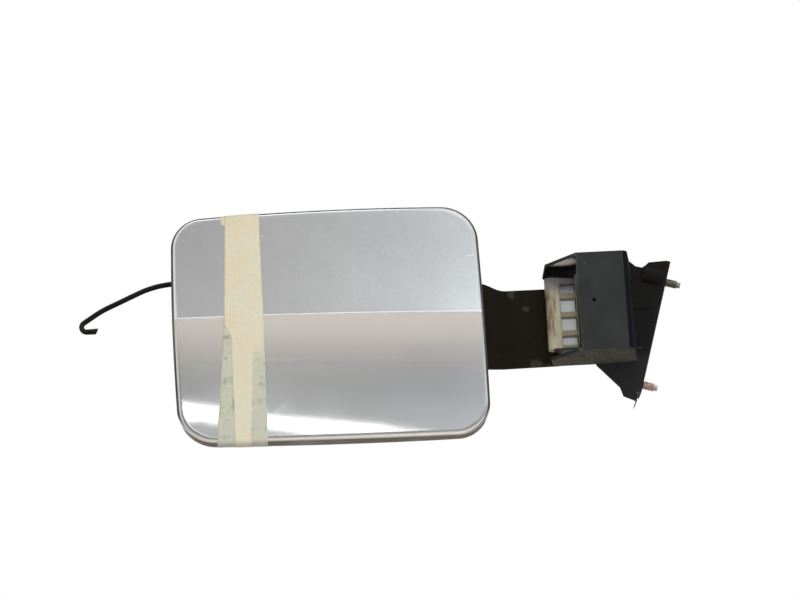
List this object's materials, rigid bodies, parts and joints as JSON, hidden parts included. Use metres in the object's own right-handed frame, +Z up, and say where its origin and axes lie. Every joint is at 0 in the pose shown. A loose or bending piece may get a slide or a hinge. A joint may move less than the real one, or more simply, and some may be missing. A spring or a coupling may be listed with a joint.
{
  "type": "car fuel door",
  "caption": "Car fuel door: a crowned, creased flap on a swan-neck arm that swings on an upright pin in a pressed mounting bracket.",
  "frame": {"origin": "midway between the two mounting studs, on the outer face of the mounting flange", "axes": "+X along the car's side from the flap to the mounting flange, +Y into the car, +Z up as the door sits on the car"},
  "size_m": [0.3538, 0.071, 0.1366],
  "materials": {
    "silver_paint": "metallic silver under clear lacquer",
    "inner_paint": "thin silver overspray, satin",
    "bracket_black": "matt black dip coat, worn at its free edge",
    "arm_black": "brown-black dip coat, scuffed",
    "zinc_plate": "dull zinc plate",
    "pin_steel": "plain steel",
    "spring_steel": "dark oiled spring wire",
    "moulded_nylon": "natural moulded plastic, aged and rust stained",
    "buffer_rubber": "matt",
    "mastic": "dull",
    "rod_black": "satin black",
    "masking_tape": "creped paper tape, dirty where single"
  },
  "bodies": {
    "bracket": {"hinge_bracket": "bracket_black", "stud_upper": "zinc_plate", "stud_lower": "zinc_plate", "hinge_pin": "pin_steel", "torsion_spring": "spring_steel"},
    "flap": {"outer_skin": "silver_paint", "inner_panel": "inner_paint", "mastic_beads": "mastic", "hinge_arm": "arm_black", "hinge_block": "moulded_nylon", "flap_screw_upper": "zinc_plate", "flap_screw_lower": "zinc_plate", "weld_nut_upper": "pin_steel", "weld_nut_lower": "pin_steel", "buffer_upper": "buffer_rubber", "buffer_lower": "buffer_rubber", "lock_catch": "zinc_plate", "catch_rivet_upper": "pin_steel", "catch_rivet_lower": "pin_steel", "hooked_rod": "rod_black", "tape_first_turn": "masking_tape", "tape_second_turn": "masking_tape"}
  },
  "joints": [
    {"name": "flap_hinge", "type": "hinge", "parent": "bracket", "child": "flap", "pos_m": [-0.0405, -0.023, 0.0099], "axis": [0, 0, 1], "range_deg": [0, 85], "deforming": ["torsion_spring"]}
  ]
}
